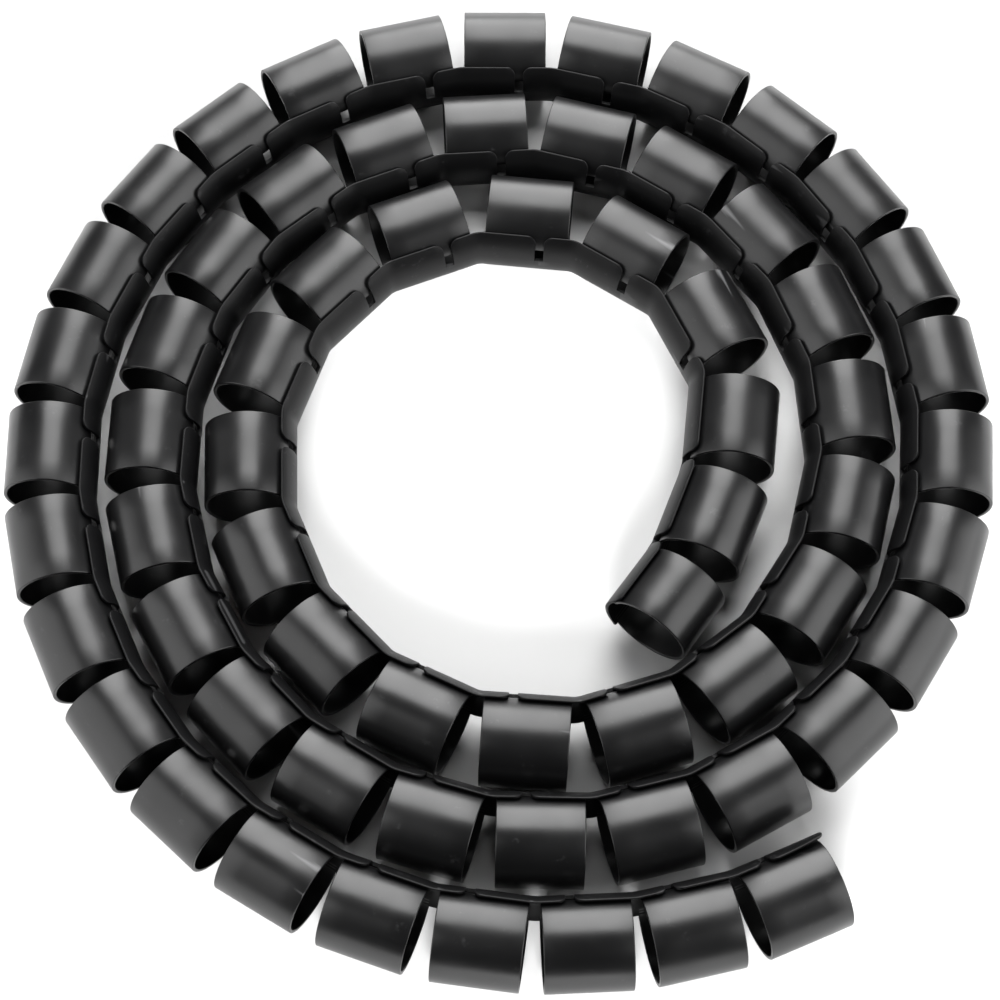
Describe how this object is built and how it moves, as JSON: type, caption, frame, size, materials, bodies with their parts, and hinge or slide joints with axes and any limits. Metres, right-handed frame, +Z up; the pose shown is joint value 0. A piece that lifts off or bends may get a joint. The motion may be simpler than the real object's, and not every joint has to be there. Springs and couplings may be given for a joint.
{
  "type": "spiral cable wrap",
  "caption": "Coiled length of black plastic spiral cable wrap: short slit rings on one flexible spine, closed round a bundle of cables to keep it tidy.",
  "frame": {"origin": "centre of the coil's bounding box in plan, on the surface the coil lies on", "axes": "+Z up out of the flat coil, the way it lies; +Y from the sleeve's outer end across the coil's long extent; +X across it to the right"},
  "size_m": [0.2458, 0.2632, 0.0224],
  "materials": {
    "wrap_plastic": "satin black, smooth moulded surface"
  },
  "bodies": {
    "root": {"cable_wrap": "wrap_plastic"}
  },
  "joints": []
}
